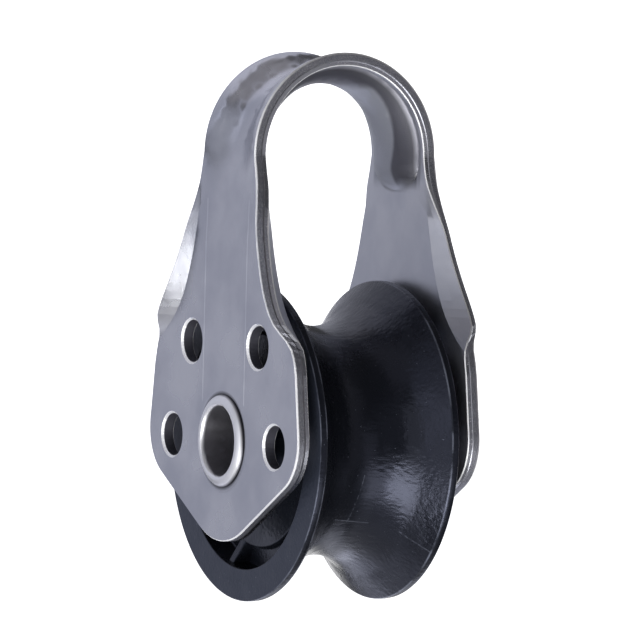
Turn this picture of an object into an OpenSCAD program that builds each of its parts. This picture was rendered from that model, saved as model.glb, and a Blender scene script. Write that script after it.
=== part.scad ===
// Sailing block for a dinghy: a strap pressed from one steel sheet, a grooved plastic sheave,
// a distance tube and a tubular rivet. Millimetres. The origin is the middle of the axle,
// Y runs along the axle and Z runs up to the bow that the block hangs by.

/* [Sheave] */
// Outside diameter of the sheave
sheave_d = 30; // [28:0.5:31]
// Width over the two rims of the sheave
sheave_w = 14.6; // [14:0.2:16]
// Diameter at the bottom of the rope groove
groove_root_d = 21.5; // [20.5:0.25:22.5]
// Radius of the round at the bottom of the rope groove
groove_round = 6.5; // [5.5:0.25:7]
// Angle of the groove's straight flanks, measured from the axle
flank_angle = 50; // [46:1:58]
// Radius where each flank turns over into the flat land of the rim
lip_round = 0.25; // [0.1:0.05:0.4]
// Width of the flat ring on each side, from the rim inwards
side_ring = 3; // [2.4:0.1:3.4]
// Width of the moulded moat inside that ring
moat_w = 2; // [1.4:0.1:2.4]
// Depth of the moat below the flat ring
moat_depth = 2.5; // [2:0.1:2.7]
// Depth of the hub disc below the flat ring
disc_depth = 1.7; // [1.2:0.1:1.9]
// Number of ribs that cross each moat
rib_count = 6; // [4:1:10]
// Thickness of one rib
rib_t = 0.9; // [0.6:0.1:1.4]
// How far the outer end of a rib lies below the flat ring
rib_drop = 0.6; // [0.3:0.1:1.1]
// Turn of the ribs about the axle, as the sheave rests
rib_turn = 14; // [0:1:59]
// Diameter of the raised boss round the bore
boss_d = 12.4; // [11:0.2:15]

/* [Strap] */
// Thickness of the steel sheet
sheet_t = 1.25; // [0.9:0.05:1.5]
// Clear gap between the side of the sheave and a cheek
side_gap = 1.05; // [0.7:0.05:1.5]
// How far the widest corners of a cheek, before they are rounded, pass the rim of the sheave
cheek_overhang = 0.2; // [0:0.05:0.8]
// How far the shoulders of a cheek, where the flare ends, lie inside the rim of the sheave
shoulder_inset = 1; // [0.7:0.05:1.3]
// Height of the shoulder above the axle
shoulder_z = 6.8; // [6.2:0.1:7.4]
// Drop of the cheek's widest corner below the axle
corner_drop = 2; // [1:0.1:3]
// Slope of the lower edges, from the level
lower_slope = 29.7; // [26:0.5:32]
// Radius of the round at the widest corners
corner_round = 5; // [3:0.25:6]
// Radius of the round at the bottom tip
tip_round = 8.6; // [5:0.2:11]
// Half the width of the bow
bow_half_w = 5.05; // [4.7:0.05:5.4]
// Height of the centre of the bow above the axle
bow_z = 26.8; // [25:0.2:32]
// Depth of the dish that is pressed along the bow
dish_depth = 1.7; // [1:0.1:1.9]
// Width of the flat rim on each side of the dish
dish_rim = 0.8; // [0.6:0.05:1]
// Radius of the crease on the inner face, where the dish meets its rim
dish_crease = 0.35; // [0.25:0.05:0.6]
// Angle of the flared leaves at the shoulders
flare_angle = 40; // [25:1:45]

/* [Holes] */
// Diameter of the holes in the cheeks
hole_d = 4; // [3:0.1:4.4]
// Distance between the two upper holes of a cheek
upper_hole_pitch = 13.1; // [12.4:0.1:14]
// Height of the upper holes above the axle
upper_hole_z = 9; // [8.6:0.1:9.6]
// Distance between the two lower holes of a cheek
lower_hole_pitch = 20.3; // [19:0.1:21]
// Depth of the rounded-over entry of each hole
hole_entry = 0.2; // [0.1:0.05:0.4]

/* [Axle] */
// Bore through the hollow rivet, which takes a fastening pin
bore_d = 6.5; // [5.5:0.1:6.8]
// Wall of the rivet, which is also the radius of its rolled heads
rivet_wall = 0.55; // [0.45:0.05:0.7]
// Clearance of the rivet in the strap and in the distance tube
rivet_fit = 0.05; // [0.02:0.01:0.1]
// Wall of the distance tube
tube_wall = 0.75; // [0.6:0.05:1]
// Running clearance of the sheave on the distance tube
running_fit = 0.06; // [0.03:0.01:0.1]
// Gap between the sheave's boss and each cheek
boss_gap = 0.25; // [0.15:0.05:0.4]

/* [Hidden] */
$fn = 96;

// Axle: each radius follows from the one inside it
bore_r = bore_d / 2;
rivet_r = bore_r + rivet_wall;
tube_bore_r = rivet_r + rivet_fit;
tube_r = tube_bore_r + tube_wall;
sheave_bore_r = tube_r + running_fit;

// Places along the axle: half widths from the middle outwards
rim_y = sheave_w / 2;
cheek_in = rim_y + side_gap;
cheek_out = cheek_in + sheet_t;
boss_y = cheek_in - boss_gap;

// Sheave
rim_r = sheave_d / 2;
root_r = groove_root_d / 2;
moat_out_r = rim_r - side_ring;
disc_r = moat_out_r - moat_w;
disc_y = rim_y - disc_depth;
moat_y = rim_y - moat_depth;
rib_root = 0.3;

// Strap: the cheeks are as wide as the sheave
cheek_half_w = rim_r + cheek_overhang;
shoulder_half_w = rim_r - shoulder_inset;

// The flare starts and ends softly, and the dish runs out into the flat legs
flare_start_z = shoulder_z + 0.7;
flare_full_z = shoulder_z + 4.7;
flare_fade_z = bow_z - 7.5;
flare_end_z = bow_z - 1;
least_leaf = 0.3;
dish_full_z = bow_z - 0.6;
dish_end_z = bow_z - 3.5;
dish_end_round = 0.25;
dish_half_w = bow_half_w - dish_rim;
dish_lip = sheet_t + dish_crease;
leg_rings = 22;
dish_rings = 12;
past = 1;

// Curves that the leg's edge and the fold of its flare follow, from the shoulder up to the bow
edge_curve = [
    [shoulder_half_w, shoulder_z],
    [shoulder_half_w - 0.8, shoulder_z + 4.7],
    [bow_half_w + 3, shoulder_z + 5],
    [bow_half_w, bow_z]
];
fold_curve = [
    [shoulder_half_w, shoulder_z + 1.2],
    [shoulder_half_w - 2.8, shoulder_z + 4.6],
    [bow_half_w + 2, shoulder_z + 3.2],
    [bow_half_w - least_leaf, bow_z]
];

// Where a point of the section lies: shares of the dish, then shares of the flare
dish_shares = [0, 0.2, 0.4, 0.55, 0.68, 0.78, 0.86, 0.93, 1];
flare_shares = [0, 0.35, 1];

function ease(a, b, v) = let (u = min(1, max(0, (v - a) / (b - a)))) u * u * (3 - 2 * u);

function curve(p, t) = pow(1 - t, 3) * p[0] + 3 * t * pow(1 - t, 2) * p[1]
    + 3 * t * t * (1 - t) * p[2] + pow(t, 3) * p[3];

// Distance of a curve from the middle plane at height z, found by halving
function half_width(p, z, lo = 0, hi = 1, left = 24) = let (mid = (lo + hi) / 2)
    left == 0 ? curve(p, mid).x
    : curve(p, mid).y < z ? half_width(p, z, mid, hi, left - 1)
    : half_width(p, z, lo, mid, left - 1);

// How far the outer face sinks in the dish: a round floor that turns over into the flat rim
dish_turn = 2 * atan(dish_depth / dish_half_w);
dish_floor_r = dish_half_w / sin(dish_turn) - dish_lip;
function full_drop(x) = x >= dish_half_w ? 0
    : x <= dish_floor_r * sin(dish_turn) ? dish_depth - dish_floor_r + sqrt(pow(dish_floor_r, 2) - x * x)
    : dish_lip - sqrt(pow(dish_lip, 2) - pow(dish_half_w - x, 2));

// Each end of the dish runs out like the tip of a spoon: its floor rises by lift and meets the flat
// softly
function dish_drop(x, lift) = lift <= 0 ? full_drop(x) : let (
    soft = dish_end_round * ease(0, 4 * dish_end_round, lift),
    left = full_drop(x) - lift * (1 + dish_end_round / dish_depth)
) (left + sqrt(left * left + soft * soft)) / 2 * (1 - ease(0.7 * dish_depth, dish_depth, lift));

// Outer face of the sheet, from the middle to one edge: [distance across, height off the flat]
function half_face(fold, edge, flare, lift) = let (
    across = concat(
        [for (s = dish_shares) s * dish_half_w],
        [for (s = flare_shares) fold + s * (edge - fold)]
    )
) [for (x = across) [x, max(0, x - fold) * flare - dish_drop(x, lift)]];

function whole_face(half) = concat(
    [for (i = [len(half) - 1 : -1 : 1]) [-half[i].x, half[i].y]],
    half
);

// Inner face: every point of the outer face moved square through the sheet
function square_to(a, b) = let (d = (b - a) / norm(b - a)) [d.y, -d.x];

function inner_face(face) = [for (i = [0 : len(face) - 1]) let (
    before = i > 0 ? square_to(face[i - 1], face[i]) : square_to(face[0], face[1]),
    after = i < len(face) - 1 ? square_to(face[i], face[i + 1]) : before,
    middle = (before + after) / norm(before + after)
) face[i] + middle * sheet_t / (middle * before)];

function section(face) = let (inner = inner_face(face))
    concat(face, [for (i = [len(inner) - 1 : -1 : 0]) inner[i]]);

function leg_face(z) = let (
    edge = z > shoulder_z ? half_width(edge_curve, z) : shoulder_half_w,
    fold = min(half_width(fold_curve, z), edge - least_leaf),
    rise = ease(flare_start_z, flare_full_z, z) * (1 - ease(flare_fade_z, flare_end_z, z)),
    short = min(1, max(0, (dish_full_z - z) / (dish_full_z - dish_end_z)))
) whole_face(half_face(fold, edge, rise * tan(flare_angle), dish_depth * short * short));

bow_face = whole_face(half_face(fold_curve[3].x, edge_curve[3].x, 0, 0));

// Heights of a leg's sections, which lie closer where the dish runs out
leg_heights = concat(
    [for (k = [0 : leg_rings - 1]) shoulder_z + k * (dish_end_z - shoulder_z) / leg_rings],
    [for (k = [0 : dish_rings]) dish_end_z + k * (bow_z - dish_end_z) / dish_rings]
);

// Each patch of the skin is split the way its bend runs: out from the middle in the dish, in towards
// it in the leaf
function split_in(i, m) = let (
    half = (m - 1) / 2, k = i % m,
    from_middle = k < half ? half - 1 - k : k - half
) (from_middle < len(dish_shares) - 1) == (k < half);

// One leg: sections stacked from the shoulder to the bow and skinned with triangles
module leg() {
    top = len(leg_heights) - 1;
    rings = [for (k = [0 : top]) [for (p = section(
        k < top ? leg_face(leg_heights[k]) : bow_face
    )) [p.x, -cheek_out - p.y, leg_heights[k]]]];
    n = len(rings[0]);
    last = top * n;
    skin = [for (k = [0 : top - 1], i = [0 : n - 1]) let (
        j = (i + 1) % n,
        a = k * n + i, b = k * n + j, c = (k + 1) * n + j, d = (k + 1) * n + i
    ) each split_in(i, n / 2) ? [[a, d, b], [b, d, c]] : [[a, d, c], [a, c, b]]];
    ends = [for (i = [0 : n / 2 - 2]) let (a = i, b = i + 1, c = n - 2 - i, d = n - 1 - i) each [
        [a, b, c], [a, c, d],
        [last + c, last + b, last + a], [last + d, last + c, last + a]
    ]];
    polyhedron(points = [for (r = rings) each r], faces = concat(skin, ends), convexity = 6);
}

// The bow: the dished section carried round half a turn
module bow() {
    translate([0, 0, bow_z])
        rotate([90, 0, 90])
            rotate_extrude(angle = 180)
                polygon([for (p = section(bow_face)) [cheek_out + p.y, p.x]]);
}

// What a round takes off a corner: the wedge between two edges, less the circle that fits them
module off_corner(corner, dir_a, dir_b, r) {
    half = acos(dir_a * dir_b) / 2;
    inward = (dir_a + dir_b) / norm(dir_a + dir_b);
    centre = corner + inward * r / sin(half);
    difference() {
        polygon([
            corner + dir_a * r / tan(half), corner - inward * r,
            corner + dir_b * r / tan(half), centre
        ]);
        translate(centre) circle(r = r);
    }
}

// Outline of a cheek below the shoulder: leaning sides, sloping lower edges and a rounded tip
module cheek_outline() {
    tip_z = -corner_drop - cheek_half_w * tan(lower_slope);
    side = [shoulder_half_w - cheek_half_w, shoulder_z + corner_drop];
    up = side / norm(side);
    down = [-cos(lower_slope), -sin(lower_slope)];
    difference() {
        polygon([
            [-shoulder_half_w, shoulder_z], [shoulder_half_w, shoulder_z],
            [cheek_half_w, -corner_drop], [0, tip_z], [-cheek_half_w, -corner_drop]
        ]);
        for (flip = [0, 1])
            mirror([flip, 0]) off_corner([cheek_half_w, -corner_drop], up, down, corner_round);
        off_corner([0, tip_z], -down, [down.x, -down.y], tip_round);
    }
}

// One hole through a cheek, widened at the outer face where the punch rolled the edge in
module cheek_hole(x, z, d, entry) {
    translate([x, -cheek_in + past, z])
        rotate([90, 0, 0]) cylinder(d = d, h = sheet_t + 2 * past);
    if (entry > 0)
        translate([x, -cheek_out + entry, z])
            rotate([90, 0, 0]) cylinder(d1 = d, d2 = d + 4 * entry, h = 2 * entry);
}

module half_strap() {
    difference() {
        union() {
            translate([0, -cheek_in, 0])
                rotate([90, 0, 0]) linear_extrude(sheet_t) cheek_outline();
            leg();
        }
        cheek_hole(0, 0, 2 * tube_bore_r, 0);
        for (side = [-1, 1]) {
            cheek_hole(side * upper_hole_pitch / 2, upper_hole_z, hole_d, hole_entry);
            cheek_hole(side * lower_hole_pitch / 2, 0, hole_d, hole_entry);
        }
    }
}

module strap() {
    color("silver") {
        half_strap();
        mirror([0, 1, 0]) half_strap();
        bow();
    }
}

// Hollow rivet: a tube whose ends are rolled out and down onto the cheeks
module tubular_rivet() {
    color("gainsboro")
        rotate([90, 0, 0])
            rotate_extrude() {
                translate([bore_r, -cheek_out]) square([rivet_wall, 2 * cheek_out]);
                for (end = [0, 1])
                    mirror([0, end])
                        intersection() {
                            translate([rivet_r, cheek_out]) circle(r = rivet_wall);
                            translate([bore_r, cheek_out]) square([2 * rivet_wall, rivet_wall]);
                        }
            }
}

// Plain tube between the cheeks: it takes the pinch of the rivet, and the sheave turns on it
module distance_tube() {
    color("darkgray")
        rotate([90, 0, 0])
            difference() {
                cylinder(r = tube_r, h = 2 * cheek_in, center = true);
                cylinder(r = tube_bore_r, h = 2 * (cheek_in + past), center = true);
            }
}

// Half section of the sheave, distance from the axle across and width up
module sheave_section() {
    flank_start = [root_r + groove_round * (1 - cos(flank_angle)), groove_round * sin(flank_angle)];
    flank_run = (rim_r - flank_start.x) / sin(flank_angle);
    flank_dir = [sin(flank_angle), cos(flank_angle)];
    edge = flank_start + flank_run * flank_dir;
    beyond = edge + past * flank_dir;
    lip_reach = lip_round * tan((90 - flank_angle) / 2);
    lip_foot = edge - lip_reach * flank_dir;
    lip_centre = [rim_r - lip_round, edge.y + lip_reach];
    difference() {
        union() {
            translate([sheave_bore_r, -rim_y]) square([rim_r - sheave_bore_r, sheave_w]);
            translate([sheave_bore_r, -boss_y]) square([boss_d / 2 - sheave_bore_r, 2 * boss_y]);
        }
        translate([root_r + groove_round, 0]) circle(r = groove_round);
        polygon([
            flank_start, beyond, [beyond.x, -beyond.y], [flank_start.x, -flank_start.y]
        ]);
        for (end = [-1, 1]) {
            difference() {
                polygon([
                    [lip_foot.x, end * lip_foot.y], [edge.x, end * edge.y],
                    [rim_r + past, end * edge.y], [rim_r + past, end * lip_centre.y],
                    [lip_centre.x, end * lip_centre.y]
                ]);
                translate([lip_centre.x, end * lip_centre.y]) circle(r = lip_round);
            }
            polygon([
                [boss_d / 2, end * disc_y], [disc_r, end * disc_y], [disc_r, end * moat_y],
                [moat_out_r, end * moat_y], [moat_out_r, end * (rim_y + past)],
                [boss_d / 2, end * (rim_y + past)]
            ]);
        }
    }
}

// One sloping rib across the moat, from the hub disc out to the flat ring
module moat_rib() {
    rotate([90, 0, 0])
        linear_extrude(rib_t, center = true)
            polygon([
                [disc_r - rib_root, moat_y - rib_root], [moat_out_r + rib_root, moat_y - rib_root],
                [moat_out_r + rib_root, rim_y - rib_drop], [moat_out_r, rim_y - rib_drop],
                [disc_r, disc_y], [disc_r - rib_root, disc_y]
            ]);
}

module sheave() {
    color([0.12, 0.13, 0.15])
        rotate([90, 0, 0]) {
            rotate_extrude() sheave_section();
            for (i = [0 : rib_count - 1], end = [0, 1])
                rotate([180 * end, 0, rib_turn + i * 360 / rib_count]) moat_rib();
        }
}

strap();
tubular_rivet();
distance_tube();
sheave();
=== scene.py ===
import math

import bpy
from mathutils import Matrix, Vector


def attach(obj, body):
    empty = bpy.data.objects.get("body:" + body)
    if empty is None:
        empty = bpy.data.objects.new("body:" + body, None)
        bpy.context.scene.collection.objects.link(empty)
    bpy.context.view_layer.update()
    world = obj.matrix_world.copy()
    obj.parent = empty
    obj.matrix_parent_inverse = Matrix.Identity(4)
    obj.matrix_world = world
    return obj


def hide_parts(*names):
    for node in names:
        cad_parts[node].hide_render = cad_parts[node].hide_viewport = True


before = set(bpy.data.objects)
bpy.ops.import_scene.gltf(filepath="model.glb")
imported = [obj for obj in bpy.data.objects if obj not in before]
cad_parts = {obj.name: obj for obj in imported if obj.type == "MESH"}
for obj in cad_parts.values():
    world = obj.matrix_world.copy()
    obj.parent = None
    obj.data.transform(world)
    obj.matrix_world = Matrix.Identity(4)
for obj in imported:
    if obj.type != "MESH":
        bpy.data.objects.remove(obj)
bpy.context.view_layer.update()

# The studio
# A white floor and a white tent that only the camera sees, so the block stands clear of them.
# Its light comes from soft panels all round, as large as they look in the steel. They stand
# outside the tent and shine through it.
MM = 0.001
FLOOR_DROP = 45 * MM
FLOOR_SIZE = 2.0
TENT_RADIUS = 0.9
PANEL_DISTANCE = 1.2
AMBIENT = 0.11

# Each panel: azimuth and elevation it shines from, width and height in degrees, brightness and
# tint. An azimuth is counted from -Y, where the front cheek faces, towards +X.
PANELS = {
    "left_panel": (-78, 25, 84, 72, 0.53, "#E6E9FA"),
    "front_panel": (-4, 16, 58, 50, 0.44, "#E8EBF9"),
    "window_strip": (15, 8, 18, 32, 0.8, "#F6F6FC"),
    "edge_card": (40, 4, 31, 50, 0.5, "#FFFFFF"),
    "top_panel": (-30, 70, 90, 44, 0.24, "#F3EFF6"),
    "left_low_panel": (-96, -42, 30, 28, 1.15, "#E2E6FA"),
    "front_low_panel": (-52, -34, 34, 46, 0.45, "#E6E9FA"),
    "table_edge": (-6, -20, 61, 23, 0.6, "#F0F2FA"),
    "low_panel": (46, -36, 48, 28, 5.8, "#FFFFFF"),
    "low_side_panel": (96, -38, 44, 30, 2.0, "#F6F6FA"),
    "side_panel": (116, -6, 26, 34, 0.34, "#F3F1F8"),
    "backdrop": (-140, -8, 76, 24, 1.4, "#FFFFFF"),
    "right_panel": (74, 18, 50, 30, 0.1, "#F3F1F8"),
    "back_panel": (162, 12, 60, 62, 0.14, "#F6F2F6"),
    "under_panel": (0, -82, 70, 70, 0.4, "#F4F4FA"),
    "floor_behind": (-134, -42, 44, 26, 0.9, "#EEF1FF"),
}


def linear(hex_colour):
    """A six-digit sRGB colour as the linear colour that a shader takes."""
    shares = [int(hex_colour[i:i + 2], 16) / 255 for i in (1, 3, 5)]
    return [s / 12.92 if s <= 0.04045 else ((s + 0.055) / 1.055) ** 2.4 for s in shares] + [1]


def new_material(name):
    """An empty node material, its tree and its Principled shader."""
    material = bpy.data.materials.new(name)
    material.use_nodes = True
    tree = material.node_tree
    return material, tree, tree.nodes["Principled BSDF"]


def towards(azimuth, elevation):
    """The direction of an azimuth and an elevation."""
    a, e = math.radians(azimuth), math.radians(elevation)
    return Vector((math.cos(e) * math.sin(a), -math.cos(e) * math.cos(a), math.sin(e)))


bpy.ops.object.select_all(action="DESELECT")
bpy.ops.mesh.primitive_plane_add(size=FLOOR_SIZE, location=(0, 0, -FLOOR_DROP))
floor = bpy.context.object
floor.name = "floor"
bpy.ops.mesh.primitive_uv_sphere_add(segments=64, ring_count=32, radius=TENT_RADIUS)
tent = bpy.context.object
tent.name = "tent"
white, tree, shader = new_material("white_paper_lit_from_behind")
shader.inputs["Base Color"].default_value = linear("#F4F4F4")
shader.inputs["Roughness"].default_value = 0.9
shader.inputs["Emission Color"].default_value = linear("#FFFFFF")
shader.inputs["Emission Strength"].default_value = 1.0
for sheet in (floor, tent):
    sheet.data.materials.append(white)
    sheet.visible_glossy = sheet.visible_diffuse = sheet.visible_shadow = False

for name, (azimuth, elevation, width, height, brightness, tint) in PANELS.items():
    direction = towards(azimuth, elevation)
    light = bpy.data.lights.new(name, "AREA")
    light.shape = "RECTANGLE"
    light.size = 2 * PANEL_DISTANCE * math.tan(math.radians(width) / 2)
    light.size_y = 2 * PANEL_DISTANCE * math.tan(math.radians(height) / 2)
    light.energy = brightness * math.pi * light.size * light.size_y
    light.color = linear(tint)[:3]
    panel = bpy.data.objects.new(name, light)
    panel.location = direction * PANEL_DISTANCE
    panel.rotation_euler = direction.to_track_quat("Z", "Y").to_euler()
    panel.visible_camera = False
    bpy.context.scene.collection.objects.link(panel)

world = bpy.data.worlds.new("dim_room")
world.use_nodes = True
world.node_tree.nodes["Background"].inputs["Color"].default_value = linear("#F2F1F6")
world.node_tree.nodes["Background"].inputs["Strength"].default_value = AMBIENT
bpy.context.scene.world = world
bpy.context.scene.view_settings.view_transform = "Standard"

# The camera
# A long lens, nearly level with the axle, that sees the front cheek from its right.
VIEW_AZIMUTH = 61.312
VIEW_ELEVATION = 2.186
VIEW_ROLL = 1.393
VIEW_DISTANCE = 598.312 * MM
VIEW_ASIDE = 0.706 * MM
VIEW_ABOVE = 11.266 * MM
LENS = 358.77
FILM = 36

bpy.ops.object.camera_add()
camera = bpy.context.object
camera.data.lens = LENS
camera.data.sensor_width = FILM
camera.data.clip_start = 10 * MM
camera.data.clip_end = 2 * TENT_RADIUS + 1
camera.matrix_world = (
    Matrix.Rotation(math.radians(VIEW_AZIMUTH), 4, "Z")
    @ Matrix.Rotation(math.radians(90 - VIEW_ELEVATION), 4, "X")
    @ Matrix.Rotation(math.radians(VIEW_ROLL), 4, "Z")
    @ Matrix.Translation((VIEW_ASIDE, VIEW_ABOVE, VIEW_DISTANCE))
)
bpy.context.scene.camera = camera

# The strap
# One stainless sheet, blanked, pierced, pressed to its dish and flares and bent round the bow,
# then tumbled, which dulls its edges and leaves a satin skin with soft waves in its reflections.
SHEET = 1.25 * MM
BOW_CENTRE = 26.8 * MM
CHEEK_OUTSIDE = 9.6 * MM
LOOSE = 0.001 * MM
SLIVER = 0.02 * MM
# Degrees: the corners that tumbling wears, the creases that stay crisp, the folds of the leaves,
# and how far the sheared edge may turn from one face to the next
SHARP_EDGE = 50
CREASE = 19
FOLD = 8
EDGE_TURN = 35
TUMBLED_EDGE = 0.09 * MM
# The dish: its half width, its foot, the shoulder up to which its outer face runs out softly, and
# how often that face is smoothed, first below the shoulder and then all along
DISH_REACH = 4.6 * MM
DISH_FOOT = 21.2 * MM
DISH_SHOULDER = 28.5 * MM
DISH_SMOOTHING = 30
BOW_SMOOTHING = 8
# The holes lie below this height and within this reach, and the leaves start above them
HOLES_BELOW = 11.1 * MM
HOLES_REACH = 9.4 * MM
LEAF_ABOVE = 3 * MM
CHAMFER = 0.3 * MM
# How much of a face's normal points along X on the edge over the bow, and the most that points
# along Y on the wall of a hole and on the chamfer of a hole
EDGE_FACES = 0.99
WALL_FACES = 0.3
CHAMFER_FACES = 0.9
# How much wear and painted highlight the corners in the dish get, beside the other corners
DISH_WEAR_AND_HIGHLIGHT = 0.3


def copy_of_node(node, name):
    """A CAD node's mesh as a piece of its own, its loose triangles joined at their corners."""
    piece = bpy.data.objects.new(name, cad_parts[node].data.copy())
    piece.data.materials.clear()
    bpy.context.scene.collection.objects.link(piece)
    bpy.ops.object.select_all(action="DESELECT")
    piece.select_set(True)
    bpy.context.view_layer.objects.active = piece
    bpy.ops.object.mode_set(mode="EDIT")
    bpy.ops.mesh.select_all(action="SELECT")
    bpy.ops.mesh.remove_doubles(threshold=LOOSE)
    bpy.ops.object.mode_set(mode="OBJECT")
    return piece


def apply_modifier(piece, kind, **settings):
    """Adds one modifier to the piece and applies it."""
    modifier = piece.modifiers.new(kind.lower(), kind)
    for name, value in settings.items():
        setattr(modifier, name, value)
    bpy.context.view_layer.objects.active = piece
    bpy.ops.object.modifier_apply(modifier=modifier.name)


def select_only(piece, kind, wanted):
    """Selects the vertices, edges or faces that the test accepts, and opens edit mode."""
    bpy.ops.object.mode_set(mode="EDIT")
    bpy.ops.mesh.select_mode(type=kind)
    bpy.ops.mesh.select_all(action="DESELECT")
    bpy.ops.object.mode_set(mode="OBJECT")
    parts = {"VERT": piece.data.vertices, "EDGE": piece.data.edges, "FACE": piece.data.polygons}
    for part in parts[kind]:
        part.select = wanted(part)
    bpy.ops.object.mode_set(mode="EDIT")


def out_of_sheet(place):
    """How far a place lies outwards through the thickness of the bent sheet."""
    return math.hypot(place.y, max(0, place.z - BOW_CENTRE))


# The dish's outer face is smoothed, because its ends run out without a crease
strap = copy_of_node("strap", "pressed_strap")
select_only(strap, "VERT", lambda corner: True)
bpy.ops.mesh.dissolve_degenerate(threshold=SLIVER)
bpy.ops.object.mode_set(mode="OBJECT")
for top, repeats in ((DISH_SHOULDER, DISH_SMOOTHING), (math.inf, BOW_SMOOTHING)):
    select_only(strap, "VERT", lambda corner: abs(corner.co.x) < DISH_REACH and DISH_FOOT < corner.co.z < top
                and out_of_sheet(corner.co + corner.normal * MM) > out_of_sheet(corner.co))
    bpy.ops.mesh.vertices_smooth(factor=0.5, repeat=repeats)
bpy.ops.object.mode_set(mode="OBJECT")

# The blanking die shears the edge. sheared is 1 on the strap's edge and 2 on the walls of its
# holes, and depth runs from 0 at the sheet's outer face to 1 at its inner face
select_only(strap, "FACE", lambda face: face.center.z > BOW_CENTRE and abs(face.normal.x) > EDGE_FACES)
bpy.ops.mesh.faces_select_linked_flat(sharpness=math.radians(EDGE_TURN))
bpy.ops.object.mode_set(mode="OBJECT")
sheared = strap.data.attributes.new("sheared", "FLOAT", "FACE")
depth = strap.data.attributes.new("depth", "FLOAT", "POINT")
sides = {}
for face in strap.data.polygons:
    if face.select:
        sheared.data[face.index].value = 1.0
        for key in face.edge_keys:
            sides[key] = sides.get(key, 0) + 1
    elif face.center.z < HOLES_BELOW and abs(face.normal.y) < WALL_FACES:
        sheared.data[face.index].value = 2.0
        for corner in face.vertices:
            place = strap.data.vertices[corner].co
            depth.data[corner].value = (CHEEK_OUTSIDE - abs(place.y)) / SHEET
for key, count in sides.items():
    if count == 2:
        inner = min(key, key=lambda corner: out_of_sheet(strap.data.vertices[corner].co))
        depth.data[inner].value = 1.0

# Tumbling wears the corners. The bevel gives its faces the second slot, so that they are known; they and the
# holes' chamfers are painted bright, as wear and as a painted highlight
steel, tree, shader = new_material("tumbled_stainless_sheet")
strap.data.materials.append(steel)
strap.data.materials.append(steel)
apply_modifier(strap, "BEVEL", width=TUMBLED_EDGE, segments=1, limit_method="ANGLE", material=1,
               angle_limit=math.radians(SHARP_EDGE), use_clamp_overlap=False)
wear_and_highlight = strap.data.attributes.new("wear_and_highlight", "FLOAT", "FACE")
for face in strap.data.polygons:
    place, slant = face.center, abs(face.normal.y)
    by_hole = place.z < LEAF_ABOVE or (place.z < HOLES_BELOW and abs(place.x) < HOLES_REACH)
    chamfer = by_hole and WALL_FACES < slant < CHAMFER_FACES and abs(place.y) > CHEEK_OUTSIDE - CHAMFER
    in_dish = abs(place.x) < DISH_REACH and place.z > HOLES_BELOW
    wear_and_highlight.data[face.index].value = 1 if chamfer else face.material_index * (DISH_WEAR_AND_HIGHLIGHT if in_dish else 1)
    face.material_index = 0
strap.data.materials.pop(index=1)

# Soft all over, but for the creases and the leaves' folds
select_only(strap, "FACE", lambda face: True)
bpy.ops.object.mode_set(mode="OBJECT")
bpy.ops.object.shade_smooth_by_angle(angle=math.radians(FOLD), keep_sharp_edges=False)
corners = strap.data.vertices
folds = [edge.index for edge in strap.data.edges
         if edge.use_edge_sharp and corners[edge.vertices[0]].co.z < DISH_FOOT]
bpy.ops.object.shade_smooth_by_angle(angle=math.radians(CREASE), keep_sharp_edges=False)
for fold in folds:
    strap.data.edges[fold].use_edge_sharp = True
apply_modifier(strap, "WEIGHTED_NORMAL", weight=50, keep_sharp=True)

# Tumbled stainless sheet: a satin grey, cloudy from the press, with a fine dull skin. Its sheared
# edge is smooth by the corner, painted bright there as a painted highlight, and torn and dark past
# the ridge. The skin's grain and the grit of the tearing are finer on the real one, and are drawn as
# coarse as they need to show.
CLOUD = 6 * MM
SKIN = 0.35 * MM
GRIT = 0.12 * MM
# Shares of the edge's depth: the worn corner, painted bright as a painted highlight, the ridge where the
# tearing starts, and their fades
CORNER = 0.13
CORNER_FADE = 0.05
RIDGE = 0.62
RIDGE_FADE = 0.06
DULL_FROM = 11 * MM
DULL_TO = 18 * MM


def add_node(tree, kind, settings=None, **links):
    """Adds one node. A link takes a socket; anything else is the input's own value. An input goes
    by its name, or by its number, as i1, where others share its name or it has a long one."""
    node = tree.nodes.new("ShaderNode" + kind)
    for name, value in (settings or {}).items():
        setattr(node, name, value)
    for name, value in links.items():
        socket = node.inputs[int(name[1:]) if name[1:].isdigit() else name.replace("_", " ")]
        if isinstance(value, bpy.types.NodeSocket):
            tree.links.new(value, socket)
        else:
            socket.default_value = value
    return node


# In a MapRange, i1 and i2 are what it reads, and i3 and i4 what it gives for them, or 0 and 1
place = add_node(tree, "TexCoord").outputs["Object"]
shear = add_node(tree, "Attribute", {"attribute_name": "sheared"}).outputs["Fac"]
clouds = add_node(tree, "TexNoise", Vector=place, Scale=1 / CLOUD, Detail=3.0).outputs["Fac"]
skin = add_node(tree, "TexNoise", Vector=place, Scale=1 / SKIN, Detail=2.0).outputs["Fac"]
grit = add_node(tree, "TexNoise", Vector=place, Scale=1 / GRIT, Detail=3.0).outputs["Fac"]
spot = add_node(tree, "SeparateXYZ", Vector=place)
tint = add_node(tree, "ValToRGB", Fac=clouds).outputs["Color"]
ramp = tint.node.color_ramp
ramp.interpolation = "EASE"
ramp.elements[0].position, ramp.elements[0].color = 0.25, linear("#B2B4BD")
ramp.elements[1].position, ramp.elements[1].color = 0.75, linear("#CACBD1")
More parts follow.
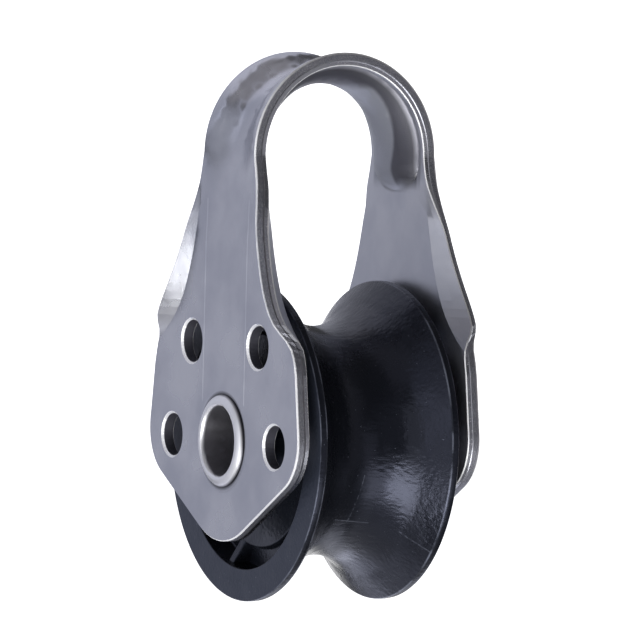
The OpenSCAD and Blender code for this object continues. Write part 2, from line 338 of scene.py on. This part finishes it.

# The torn part of the edge is dark and pitted, a little less so low on the cheeks. The smooth part
# has painted glints as bright points, and the worn corner is painted bright all along as a painted highlight
band = add_node(tree, "Math", {"operation": "COMPARE"}, i0=shear, i1=1.0, i2=0.5).outputs[0]
wall = add_node(tree, "MapRange", Value=shear, i1=1.4, i2=1.6).outputs[0]
rubbed = add_node(tree, "Attribute", {"attribute_name": "wear_and_highlight"}).outputs["Fac"]
across = add_node(tree, "Attribute", {"attribute_name": "depth"}).outputs["Fac"]
torn = add_node(tree, "MapRange", {"interpolation_type": "SMOOTHSTEP"}, Value=across,
                i1=RIDGE - RIDGE_FADE, i2=RIDGE + RIDGE_FADE, i3=1.0, i4=0.0).outputs[0]
torn = add_node(tree, "Math", {"operation": "MULTIPLY"}, i0=torn, i1=band).outputs[0]
high = add_node(tree, "MapRange", Value=spot.outputs["Z"], i1=DULL_FROM, i2=DULL_TO, i3=0.9, i4=1).outputs[0]
dark = add_node(tree, "Math", {"operation": "MULTIPLY"}, i0=torn, i1=high).outputs[0]
pits = add_node(tree, "MapRange", Value=grit, i1=0.35, i2=0.65, i3=0.45, i4=1.05).outputs[0]
dark = add_node(tree, "Math", {"operation": "MULTIPLY"}, i0=dark, i1=pits).outputs[0]
dull = add_node(tree, "Math", {"operation": "MULTIPLY"}, i0=band, i1=0.3).outputs[0]
dark = add_node(tree, "Math", {"operation": "MAXIMUM"}, i0=dark, i1=dull).outputs[0]
glint = add_node(tree, "MapRange", Value=grit, i1=0.64, i2=0.72, i4=0.8).outputs[0]
glint = add_node(tree, "Math", {"operation": "MULTIPLY"}, i0=glint, i1=band).outputs[0]
rubbed = add_node(tree, "Math", {"operation": "MAXIMUM"}, i0=rubbed, i1=glint).outputs[0]
corner = add_node(tree, "MapRange", Value=across, i1=CORNER - CORNER_FADE, i2=CORNER + CORNER_FADE,
                  i3=1.0, i4=0.0)
corner = add_node(tree, "Math", {"operation": "MULTIPLY"}, i0=corner.outputs[0], i1=band).outputs[0]
rubbed = add_node(tree, "Math", {"operation": "MAXIMUM"}, i0=rubbed, i1=corner).outputs[0]

# Where the skin faces inwards, the punch left it rougher, and its colour is painted shade and painted
# reflections: in the dish nearer than DISH_INSIDE to the bow's centre, and above SPOON_FOOT. Up to
# SPOON_TOP the side towards -X is painted light, as a painted reflection, as far as a leaning line on
# which X is SPOON_EDGE + SPOON_LEAN * Z. A pair is where a fade starts and ends
DISH_INSIDE = 8.3 * MM
DISH_FADE = 0.9 * MM
INWARD_FADE = 1.5 * MM
SIDE_FADE = 0.4 * MM
SPOON_FOOT = (23.6 * MM, 24.8 * MM)
SPOON_TOP = (32.8 * MM, 33.7 * MM)
SPOON_LEAN = 0.2
SPOON_EDGE = (-3.98 * MM, -3.48 * MM)

lift = add_node(tree, "Math", {"operation": "SUBTRACT"}, i0=spot.outputs["Z"], i1=BOW_CENTRE).outputs[0]
lift = add_node(tree, "Math", {"operation": "MAXIMUM"}, i0=lift, i1=0.0).outputs[0]
outward = add_node(tree, "CombineXYZ", Y=spot.outputs["Y"], Z=lift).outputs["Vector"]
normal = add_node(tree, "NewGeometry").outputs["Normal"]
facing = add_node(tree, "VectorMath", {"operation": "DOT_PRODUCT"}, i0=normal, i1=outward)
inside = add_node(tree, "MapRange", Value=facing.outputs["Value"], i1=-INWARD_FADE, i2=0.0, i3=1.0, i4=0.0)
reach = add_node(tree, "VectorMath", {"operation": "LENGTH"}, i0=outward).outputs["Value"]
sunk = add_node(tree, "MapRange", {"interpolation_type": "SMOOTHSTEP"}, Value=reach,
                i1=DISH_INSIDE - DISH_FADE, i2=DISH_INSIDE, i3=1.0, i4=0.0).outputs[0]
aside = add_node(tree, "Math", {"operation": "ABSOLUTE"}, i0=spot.outputs["X"]).outputs[0]
narrow = add_node(tree, "MapRange", Value=aside, i1=DISH_REACH - SIDE_FADE, i2=DISH_REACH, i3=1.0, i4=0.0)
above = add_node(tree, "MapRange", Value=spot.outputs["Z"], i1=SPOON_FOOT[0], i2=SPOON_FOOT[1]).outputs[0]
full = add_node(tree, "Math", {"operation": "MULTIPLY"}, i0=narrow.outputs[0], i1=above).outputs[0]
sunk = add_node(tree, "Math", {"operation": "MAXIMUM"}, i0=sunk, i1=full).outputs[0]
sunk = add_node(tree, "Math", {"operation": "MULTIPLY"}, i0=sunk, i1=inside.outputs[0]).outputs[0]
over = add_node(tree, "MapRange", Value=spot.outputs["X"], i1=-DISH_REACH, i2=DISH_REACH).outputs[0]
# Painted reflections and shade across the dish: dark grey most of the way, a bright line near the rim, and
# dark again at it
dish_painted_reflection = add_node(tree, "ValToRGB", Fac=over).outputs["Color"]
ramp = dish_painted_reflection.node.color_ramp
ramp.elements[0].position, ramp.elements[0].color = 0.6, linear("#76767E")
ramp.elements[1].position, ramp.elements[1].color = 0.84, linear("#62626A")
for place_x, shade in ((0.9, "#66666C"), (0.94, "#B4B4BC"), (0.97, "#A0A0A8"), (0.985, "#4A4A50")):
    ramp.elements.new(place_x).color = linear(shade)
over = add_node(tree, "Math", {"operation": "MULTIPLY_ADD"}, i0=spot.outputs["Z"], i1=-SPOON_LEAN,
                i2=spot.outputs["X"]).outputs[0]
left = add_node(tree, "MapRange", {"interpolation_type": "SMOOTHSTEP"}, Value=over,
                i1=SPOON_EDGE[0], i2=SPOON_EDGE[1], i3=1.0, i4=0.0).outputs[0]
low = add_node(tree, "MapRange", {"interpolation_type": "SMOOTHSTEP"}, Value=spot.outputs["Z"],
               i1=SPOON_TOP[0], i2=SPOON_TOP[1], i3=1.0, i4=0.0).outputs[0]
left = add_node(tree, "Math", {"operation": "MULTIPLY"}, i0=left, i1=low).outputs[0]
# The side towards -X is painted light, as a painted reflection
dish_painted_reflection = add_node(tree, "Mix", {"data_type": "RGBA"}, i0=left, i6=dish_painted_reflection, i7=linear("#ACAEB6")).outputs[2]

# The worn corner of the sheared edge is round, so it leans outwards there
out = add_node(tree, "VectorMath", {"operation": "NORMALIZE"}, i0=outward).outputs[0]
lean = add_node(tree, "VectorMath", {"operation": "SCALE"}, i0=out, Scale=corner).outputs[0]
leant = add_node(tree, "VectorMath", {"operation": "ADD"}, i0=normal, i1=lean).outputs[0]
leant = add_node(tree, "VectorMath", {"operation": "NORMALIZE"}, i0=leant).outputs[0]

# Two faint lines that the bending die rubbed bright down each cheek's outer face
DIE_LINE = 4.1 * MM
DIE_WIDE = 0.16 * MM
DIE_MIDDLE = 13 * MM
DIE_REACH = 9.5 * MM

aside = add_node(tree, "Math", {"operation": "SUBTRACT"}, i0=aside, i1=DIE_LINE).outputs[0]
aside = add_node(tree, "Math", {"operation": "ABSOLUTE"}, i0=aside).outputs[0]
line = add_node(tree, "MapRange", {"interpolation_type": "SMOOTHSTEP"}, Value=aside,
                i1=0.0, i2=DIE_WIDE, i3=1.0, i4=0.0).outputs[0]
along = add_node(tree, "Math", {"operation": "COMPARE"}, i0=spot.outputs["Z"], i1=DIE_MIDDLE,
                 i2=DIE_REACH).outputs[0]
outside = add_node(tree, "Math", {"operation": "SUBTRACT"}, i0=0.6, i1=inside.outputs[0]).outputs[0]
faint = add_node(tree, "MapRange", Value=clouds, i1=0.4, i2=0.6, i3=0.35, i4=1.0).outputs[0]
line = add_node(tree, "Math", {"operation": "MULTIPLY"}, i0=line, i1=faint).outputs[0]
line = add_node(tree, "Math", {"operation": "MULTIPLY"}, i0=line, i1=along).outputs[0]
line = add_node(tree, "Math", {"operation": "MULTIPLY", "use_clamp": True}, i0=line, i1=outside).outputs[0]

# The colours one over the other: the lines, the torn edge, the dish's painted shade and reflections, the
# holes' walls, worn corners and painted highlights
tint = add_node(tree, "Mix", {"data_type": "RGBA"}, i0=line, i6=tint, i7=linear("#FAFAFC")).outputs[2]
colour = add_node(tree, "Mix", {"data_type": "RGBA"}, i0=dark, i6=tint, i7=linear("#74747C")).outputs[2]
colour = add_node(tree, "Mix", {"data_type": "RGBA"}, i0=sunk, i6=colour, i7=dish_painted_reflection).outputs[2]
colour = add_node(tree, "Mix", {"data_type": "RGBA"}, i0=wall, i6=colour, i7=linear("#6E6E78")).outputs[2]
# Painted white: worn corners, the holes' chamfers, glints and the edge's corner, as wear and as painted
# highlights
colour = add_node(tree, "Mix", {"data_type": "RGBA"}, i0=rubbed, i6=colour, i7=linear("#FFFFFF"))

# Roughness: satin all over, duller inside the dish, in the holes, on worn corners and where torn
satin = add_node(tree, "MapRange", Value=clouds, i1=0.2, i2=0.8, i3=0.18, i4=0.32).outputs[0]
dulled = add_node(tree, "Math", {"operation": "ADD"}, i0=inside.outputs[0], i1=sunk).outputs[0]
satin = add_node(tree, "Math", {"operation": "MULTIPLY_ADD"}, i0=dulled, i1=0.16, i2=satin).outputs[0]
satin = add_node(tree, "Math", {"operation": "MULTIPLY_ADD"}, i0=wall, i1=0.35, i2=satin).outputs[0]
satin = add_node(tree, "Math", {"operation": "MULTIPLY_ADD"}, i0=rubbed, i1=0.28, i2=satin).outputs[0]
rough = add_node(tree, "Math", {"operation": "MULTIPLY_ADD"}, i0=torn, i1=0.22, i2=satin)
tree.links.new(rough.outputs[0], shader.inputs["Roughness"])

# The ring that the rivet's tool left round its head, and painted shade on the cheek where the head's lip
# meets it
LIP_SHADE = (4.4 * MM, 4.7 * MM)
HEAD_MARK = (4.6 * MM, 4.95 * MM)

flat = add_node(tree, "VectorMath", {"operation": "MULTIPLY"}, i0=place, i1=(1, 0, 1)).outputs[0]
radius = add_node(tree, "VectorMath", {"operation": "LENGTH"}, i0=flat).outputs["Value"]
# Painted shade: the cheek is darkened just outside the rivet's head, for the shadow in the gap under its lip
lip_shade = add_node(tree, "MapRange", Value=radius, i1=LIP_SHADE[0], i2=LIP_SHADE[1], i3=0.85, i4=0.0).outputs[0]
colour = add_node(tree, "Mix", {"data_type": "RGBA"}, i0=lip_shade, i6=colour.outputs[2], i7=linear("#3A3A3E"))
tree.links.new(colour.outputs[2], shader.inputs["Base Color"])
ring = add_node(tree, "MapRange", {"interpolation_type": "SMOOTHSTEP"}, Value=radius,
                i1=HEAD_MARK[0], i2=HEAD_MARK[1], i3=1.0, i4=0.0).outputs[0]

# Relief: waves of the press, the tool's ring, the skin's grain, and the edge's step and tearing
wave = add_node(tree, "Bump", Strength=0.6, Distance=0.16 * MM, Height=clouds,
                Normal=leant).outputs["Normal"]
pressed = add_node(tree, "Bump", Strength=1.0, Distance=0.03 * MM, Height=ring, Normal=wave)
grain = add_node(tree, "Bump", Strength=0.25, Distance=0.01 * MM, Height=skin,
                 Normal=pressed.outputs["Normal"])
step = add_node(tree, "Bump", Strength=1.0, Distance=0.09 * MM, Height=torn,
                Normal=grain.outputs["Normal"])
coarse = add_node(tree, "Math", {"operation": "MULTIPLY_ADD"}, i0=sunk, i1=0.4, i2=torn).outputs[0]
tear = add_node(tree, "Bump", Strength=coarse, Distance=0.05 * MM, Height=grit,
                Normal=step.outputs["Normal"])
tree.links.new(tear.outputs["Normal"], shader.inputs["Normal"])
shader.inputs["Metallic"].default_value = 1.0
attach(strap, "shell")
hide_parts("strap")

# The hollow rivet
# A stainless tube whose ends are rolled out and down onto the cheeks. The rolling tool leaves the
# heads bright and faintly dented. Its sizes are in mm.
RIVET_BORE = 3.25
RIVET_WALL = 0.55
HEAD_RADIUS = RIVET_BORE + 2 * RIVET_WALL
HEAD_HIGH = 0.55
CREST_IN = 0.28
CREST_OUT = 0.72
HEAD_BLUNT = 1.35
CHEEK_FACE = 9.6
ROLL_STEPS = 8
TURN_STEPS = 160
ROUND_STEPS = 4
SAME_POINT = 0.005 * MM


def spun_piece(name, outline, rounded=()):
    """A closed outline in mm, (distance from the axle, place along it), drawn point by point and
    spun round the axle. Each of its rounded corners is (corner's number, radius in mm)."""
    bpy.ops.object.select_all(action="DESELECT")
    bpy.ops.mesh.primitive_plane_add(size=MM)
    piece = bpy.context.object
    piece.name = name
    bpy.ops.object.mode_set(mode="EDIT")
    bpy.ops.mesh.select_mode(type="VERT")
    bpy.ops.mesh.select_all(action="SELECT")
    bpy.ops.mesh.merge(type="CENTER")
    here = outline[0]
    bpy.ops.transform.translate(value=(here[0] * MM, here[1] * MM, 0))
    for point in [*outline[1:], outline[0]]:
        step = ((point[0] - here[0]) * MM, (point[1] - here[1]) * MM, 0)
        bpy.ops.mesh.extrude_region_move(TRANSFORM_OT_translate={"value": step})
        here = point
    bpy.ops.mesh.select_all(action="SELECT")
    bpy.ops.mesh.remove_doubles(threshold=LOOSE)
    bpy.ops.object.mode_set(mode="OBJECT")
    for corner, radius in rounded:
        spot = Vector((outline[corner][0] * MM, outline[corner][1] * MM, 0))
        select_only(piece, "VERT", lambda vertex: (vertex.co - spot).length < SAME_POINT)
        bpy.ops.mesh.bevel(offset=radius * MM, segments=ROUND_STEPS, affect="VERTICES")
        bpy.ops.object.mode_set(mode="OBJECT")
    bpy.ops.object.mode_set(mode="EDIT")
    bpy.ops.mesh.select_all(action="SELECT")
    bpy.ops.mesh.spin(steps=TURN_STEPS, angle=2 * math.pi, center=(0, 0, 0), axis=(0, 1, 0))
    bpy.ops.mesh.select_all(action="SELECT")
    bpy.ops.mesh.remove_doubles(threshold=LOOSE)
    bpy.ops.mesh.normals_make_consistent(inside=False)
    bpy.ops.object.mode_set(mode="OBJECT")
    bpy.ops.object.shade_smooth()
    return piece


# Each head rises from the bore over its crest and falls bluntly to its lip on the cheek
turns = [math.pi / 2 * k / ROLL_STEPS for k in range(ROLL_STEPS + 1)]
roll = [(RIVET_BORE + CREST_IN * (1 - math.cos(t)), CHEEK_FACE + HEAD_HIGH * math.sin(t)) for t in turns]
roll += [(HEAD_RADIUS - CREST_OUT * (1 - math.sin(t) ** HEAD_BLUNT),
          CHEEK_FACE + HEAD_HIGH * max(0, math.cos(t)) ** HEAD_BLUNT) for t in turns]
half = [*roll, (HEAD_RADIUS - CREST_OUT, CHEEK_FACE)]
rivet = spun_piece("hollow_rivet", half + [(r, -y) for r, y in reversed(half)])
apply_modifier(rivet, "WEIGHTED_NORMAL", weight=50, keep_sharp=True)

# Rolled stainless: bright with faint ripples, darker in the drawn bore, and painted shade under the lip
# BORE_FADE is how far past the bore's wall it goes, and LIP_FADE how far in from the lip.
RIPPLE = 0.8 * MM
BORE_FADE = (0.01, 0.06)
LIP_FADE = (0.22, 0.04)

bright, tree, shader = new_material("rolled_bright_stainless")
place = add_node(tree, "TexCoord").outputs["Object"]
ripple = add_node(tree, "TexNoise", Vector=place, Scale=1 / RIPPLE, Detail=3.0).outputs["Fac"]
flat = add_node(tree, "VectorMath", {"operation": "MULTIPLY"}, i0=place, i1=(1, 0, 1)).outputs[0]
radius = add_node(tree, "VectorMath", {"operation": "LENGTH"}, i0=flat).outputs["Value"]
bore = add_node(tree, "MapRange", Value=radius, i1=(RIVET_BORE + BORE_FADE[0]) * MM,
                i2=(RIVET_BORE + BORE_FADE[1]) * MM, i3=1.0, i4=0.0).outputs[0]
# Painted shade: the head is darkened towards its lip, where it turns down to the cheek
lip_shade = add_node(tree, "MapRange", Value=radius, i1=(HEAD_RADIUS - LIP_FADE[0]) * MM,
               i2=(HEAD_RADIUS - LIP_FADE[1]) * MM).outputs[0]
colour = add_node(tree, "Mix", {"data_type": "RGBA"}, i0=bore, i6=linear("#F0F0F3"),
                  i7=linear("#A9A8AE")).outputs[2]
colour = add_node(tree, "Mix", {"data_type": "RGBA"}, i0=lip_shade, i6=colour, i7=linear("#56565C"))
tree.links.new(colour.outputs[2], shader.inputs["Base Color"])
satin = add_node(tree, "MapRange", Value=ripple, i1=0.3, i2=0.7, i3=0.38, i4=0.48).outputs[0]
tree.links.new(satin, shader.inputs["Roughness"])
dents = add_node(tree, "Bump", Strength=0.4, Distance=0.02 * MM, Height=ripple)
tree.links.new(dents.outputs["Normal"], shader.inputs["Normal"])
shader.inputs["Metallic"].default_value = 1.0
rivet.data.materials.append(bright)
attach(rivet, "shell")
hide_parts("tubular_rivet")

# The distance tube
# A plain length of stainless tube, hidden between the cheeks but for a glimpse past the boss.
# It was drawn through a die, which leaves fine lines along it.
DRAWN_LINE = 0.25 * MM
LINE_STRETCH = 0.04

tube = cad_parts["distance_tube"]
drawn, tree, shader = new_material("drawn_stainless_tube")
place = add_node(tree, "TexCoord").outputs["Object"]
along = add_node(tree, "Mapping", Vector=place, Scale=(1, LINE_STRETCH, 1)).outputs["Vector"]
lines = add_node(tree, "TexNoise", Vector=along, Scale=1 / DRAWN_LINE, Detail=2.0).outputs["Fac"]
shader.inputs["Base Color"].default_value = linear("#B4B5BA")
satin = add_node(tree, "MapRange", Value=lines, i1=0.3, i2=0.7, i3=0.25, i4=0.4).outputs[0]
tree.links.new(satin, shader.inputs["Roughness"])
shader.inputs["Metallic"].default_value = 1.0
tube.data.materials.clear()
tube.data.materials.append(drawn)

# The sheave
# One black acetal moulding. The rope polishes its groove, and its rims scuff against the cheeks
# and whatever the block lies on, which leaves their corners worn; their pale corners are partly that wear
# and partly a painted highlight.
# Sizes in mm, angles in degrees. A pair is (distance from the axle, distance from the middle)
RIM = 15.0
RIM_FACE = 7.3
GROOVE_BOTTOM = 10.75
GROOVE_ROUND = 6.5
FLANK_TURN = 50
SHEAVE_BORE = 4.66
BOSS = (6.2, 8.1)
DISC = (10.0, 5.6)
MOAT = (12.0, 4.8)
RIB_COUNT = 6
RIB_WIDE = 0.9
RIB_TURN = 14
RIB_FOOT = 0.3
RIB_TOP = 6.7
RIB_SUNK = 0.05
RIB_ROUND = 0.1
RIB_CORNER = 40
GROOVE_STEPS = 40

flank_r = GROOVE_BOTTOM + GROOVE_ROUND * (1 - math.cos(math.radians(FLANK_TURN)))
flank_y = GROOVE_ROUND * math.sin(math.radians(FLANK_TURN))
lip_y = flank_y + (RIM - flank_r) / math.tan(math.radians(FLANK_TURN))
turns = [math.radians(FLANK_TURN) * (1 - 2 * k / GROOVE_STEPS) for k in range(GROOVE_STEPS + 1)]
groove = [(GROOVE_BOTTOM + GROOVE_ROUND * (1 - math.cos(t)), GROOVE_ROUND * math.sin(t)) for t in turns]
half = [(SHEAVE_BORE, BOSS[1]), BOSS, (BOSS[0], DISC[1]), DISC, (DISC[0], MOAT[1]), MOAT,
        (MOAT[0], RIM_FACE), (RIM, RIM_FACE), (RIM, lip_y)]
outline = half + groove + [(r, -y) for r, y in reversed(half)]
last = len(outline) - 1
# Each corner of the half outline that the mould rounds: (its number, its radius)
rounds = [(0, 0.15), (1, 0.15), (2, 0.3), (3, 0.15), (4, 0.25), (5, 0.25), (6, 0.12), (7, 0.12), (8, 0.12)]
sheave = spun_piece("sheave_moulding", outline, rounds + [(last - k, radius) for k, radius in rounds])

# The six sloping ribs that stiffen each moat: one is shaped, the rest are its copies
rib_long = MOAT[0] - DISC[0] + 2 * RIB_FOOT
rib_high = RIB_TOP - MOAT[1] + RIB_FOOT
bpy.ops.object.select_all(action="DESELECT")
bpy.ops.mesh.primitive_cube_add(size=1)
ribs = bpy.context.object
ribs.name = "ribs"
bpy.ops.object.mode_set(mode="EDIT")
bpy.ops.mesh.select_all(action="SELECT")
bpy.ops.transform.resize(value=(rib_long * MM, rib_high * MM, RIB_WIDE * MM))
bpy.ops.transform.translate(value=((MOAT[0] + DISC[0]) / 2 * MM, (RIB_TOP - rib_high / 2) * MM, 0))
select_only(ribs, "VERT", lambda corner: corner.co.x < DISC[0] * MM and corner.co.y > DISC[1] * MM)
bpy.ops.transform.translate(value=(0, (DISC[1] - RIB_SUNK - RIB_TOP) * MM, 0))
bpy.ops.object.mode_set(mode="OBJECT")
apply_modifier(ribs, "BEVEL", width=RIB_ROUND * MM, segments=2, limit_method="ANGLE",
               angle_limit=math.radians(RIB_CORNER))
bpy.ops.object.mode_set(mode="EDIT")
bpy.ops.mesh.select_all(action="SELECT")
bpy.ops.transform.rotate(value=math.radians(RIB_TURN), orient_axis="Y", center_override=(0, 0, 0))
bpy.ops.mesh.spin(steps=RIB_COUNT, angle=2 * math.pi, center=(0, 0, 0), axis=(0, 1, 0), dupli=True)
bpy.ops.mesh.select_all(action="SELECT")
bpy.ops.mesh.remove_doubles(threshold=LOOSE)
bpy.ops.mesh.select_all(action="SELECT")
bpy.ops.mesh.duplicate()
bpy.ops.transform.mirror(orient_type="GLOBAL", constraint_axis=(False, True, False),
                         center_override=(0, 0, 0))
bpy.ops.mesh.select_all(action="SELECT")
bpy.ops.mesh.normals_make_consistent(inside=False)
bpy.ops.object.mode_set(mode="OBJECT")
apply_modifier(sheave, "BOOLEAN", operation="UNION", solver="EXACT", object=ribs)
bpy.data.objects.remove(ribs)
apply_modifier(sheave, "WEIGHTED_NORMAL", weight=50, keep_sharp=True)

# Moulded black acetal: waxy and glossy, smeared by the rope, with fine marks across the groove.
# The specks of dust are finer on the real one, and are drawn as coarse as they need to show.
SMEAR = 2.5 * MM
CHATTER = 0.35 * MM
CHATTER_STRETCH = 0.2
SPECK = 0.16 * MM
# How far each thing fades, in mm
DUST_FADE = 0.1
SCUFF_AND_SHEEN_FADE = 0.05
CORNER_WEAR_AND_HIGHLIGHT = (0.04, 0.12)
SCRATCH_WIDE = (0.01, 0.06)
# Each scratch in the groove: (along the axle, up) where it starts and where it ends
SCRATCHES = [((-0.1, -2.6), (-0.6, -7.1)), ((-2.2, -6.85), (1.6, -7.2)), ((4.3, -8.0), (6.6, -9.8))]

acetal, tree, shader = new_material("moulded_black_acetal")
place = add_node(tree, "TexCoord").outputs["Object"]
smear = add_node(tree, "TexNoise", Vector=place, Scale=1 / SMEAR, Detail=4.0).outputs["Fac"]
along = add_node(tree, "Mapping", Vector=place, Scale=(1, CHATTER_STRETCH, 1)).outputs["Vector"]
chatter = add_node(tree, "TexNoise", Vector=along, Scale=1 / CHATTER, Detail=2.0).outputs["Fac"]
side = add_node(tree, "SeparateXYZ", Vector=place).outputs["Y"]
side = add_node(tree, "Math", {"operation": "ABSOLUTE"}, i0=side).outputs[0]
flat = add_node(tree, "VectorMath", {"operation": "MULTIPLY"}, i0=place, i1=(1, 0, 1)).outputs[0]
radius = add_node(tree, "VectorMath", {"operation": "LENGTH"}, i0=flat).outputs["Value"]
section = add_node(tree, "CombineXYZ", X=radius, Y=side).outputs["Vector"]

# Worn pale: the rims' corners in patches, partly wear and partly a painted highlight, a few specks, and the
# scratches, which skip
wear_and_highlight = 0.0
for edge in ((RIM, RIM_FACE), (RIM, lip_y)):
    gap = add_node(tree, "VectorMath", {"operation": "DISTANCE"}, i0=section,
                   i1=(edge[0] * MM, edge[1] * MM, 0)).outputs["Value"]
    near = add_node(tree, "MapRange", Value=gap, i1=CORNER_WEAR_AND_HIGHLIGHT[0] * MM,
                    i2=CORNER_WEAR_AND_HIGHLIGHT[1] * MM, i3=1.0, i4=0.0).outputs[0]
    wear_and_highlight = add_node(tree, "Math", {"operation": "ADD"}, i0=wear_and_highlight, i1=near).outputs[0]
patchy = add_node(tree, "MapRange", Value=smear, i1=0.42, i2=0.62, i3=0.1, i4=0.9).outputs[0]
wear_and_highlight = add_node(tree, "Math", {"operation": "MULTIPLY"}, i0=wear_and_highlight, i1=patchy).outputs[0]
speck = add_node(tree, "TexNoise", Vector=place, Scale=1 / SPECK, Detail=0.0).outputs["Fac"]
speck = add_node(tree, "MapRange", Value=speck, i1=0.84, i2=0.88, i3=0.0, i4=0.7).outputs[0]
wear_and_highlight = add_node(tree, "Math", {"operation": "ADD", "use_clamp": True}, i0=wear_and_highlight, i1=speck).outputs[0]
seen = add_node(tree, "VectorMath", {"operation": "MULTIPLY"}, i0=place, i1=(0, 1, 1)).outputs[0]
skips = add_node(tree, "MapRange", Value=chatter, i1=0.42, i2=0.62, i3=0.1, i4=1.0).outputs[0]
for start, end in SCRATCHES:
    start, end = (Vector((0, *spot)) * MM for spot in (start, end))
    run = end - start
    offset = add_node(tree, "VectorMath", {"operation": "SUBTRACT"}, i0=seen, i1=start).outputs[0]
    share = add_node(tree, "VectorMath", {"operation": "DOT_PRODUCT"}, i0=offset,
                     i1=run / run.length_squared).outputs["Value"]
    share = add_node(tree, "Clamp", Value=share).outputs[0]
    nearest = add_node(tree, "VectorMath", {"operation": "SCALE"}, i0=run, Scale=share).outputs[0]
    gap = add_node(tree, "VectorMath", {"operation": "DISTANCE"}, i0=offset, i1=nearest).outputs["Value"]
    mark = add_node(tree, "MapRange", Value=gap, i1=SCRATCH_WIDE[0] * MM,
                    i2=SCRATCH_WIDE[1] * MM, i3=0.5, i4=0.0).outputs[0]
    mark = add_node(tree, "Math", {"operation": "MULTIPLY"}, i0=mark, i1=skips).outputs[0]
    wear_and_highlight = add_node(tree, "Math", {"operation": "MAXIMUM"}, i0=wear_and_highlight, i1=mark).outputs[0]

# The sides are scuffed and rougher, and painted greyer than the groove as a painted sheen, and the moats
# hold dust
scuff_and_sheen = add_node(tree, "MapRange", Value=side, i1=(RIM_FACE - SCUFF_AND_SHEEN_FADE) * MM,
                 i2=RIM_FACE * MM).outputs[0]
# Painted sheen: the sides are given a greyer colour than the groove
colour = add_node(tree, "Mix", {"data_type": "RGBA"}, i0=scuff_and_sheen, i6=linear("#0C0E13"),
                  i7=linear("#2B2F39")).outputs[2]
dusty = add_node(tree, "MapRange", Value=radius, i1=(MOAT[0] - DUST_FADE) * MM, i2=MOAT[0] * MM,
                 i3=1.0, i4=0.0).outputs[0]
deep = add_node(tree, "MapRange", Value=side, i1=MOAT[1] * MM, i2=(MOAT[1] - DUST_FADE) * MM,
                i3=1.0, i4=0.0)
dusty = add_node(tree, "Math", {"operation": "MULTIPLY"}, i0=dusty, i1=deep.outputs[0]).outputs[0]
colour = add_node(tree, "Mix", {"data_type": "RGBA"}, i0=dusty, i6=colour, i7=linear("#1E2128")).outputs[2]
# Pale: wear, specks and scratches, and on the rims' corners also a painted highlight
colour = add_node(tree, "Mix", {"data_type": "RGBA"}, i0=wear_and_highlight, i6=colour, i7=linear("#6A6E7A"))
tree.links.new(colour.outputs[2], shader.inputs["Base Color"])
shader.inputs["IOR"].default_value = 1.48
shader.inputs["Specular IOR Level"].default_value = 0.68
shader.inputs["Specular Tint"].default_value = linear("#C6CCE8")
satin = add_node(tree, "MapRange", Value=smear, i1=0.3, i2=0.7, i3=0.2, i4=0.34).outputs[0]
dull = add_node(tree, "Math", {"operation": "MULTIPLY_ADD"}, i0=scuff_and_sheen, i1=0.25, i2=satin).outputs[0]
tree.links.new(dull, shader.inputs["Roughness"])
rubbed = add_node(tree, "Bump", Strength=1.0, Distance=0.035 * MM, Height=chatter)
sagged = add_node(tree, "Bump", Strength=0.6, Distance=0.12 * MM, Height=smear,
                  Normal=rubbed.outputs["Normal"])
tree.links.new(sagged.outputs["Normal"], shader.inputs["Normal"])
sheave.data.materials.append(acetal)
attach(sheave, "wheel")
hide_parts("sheave")
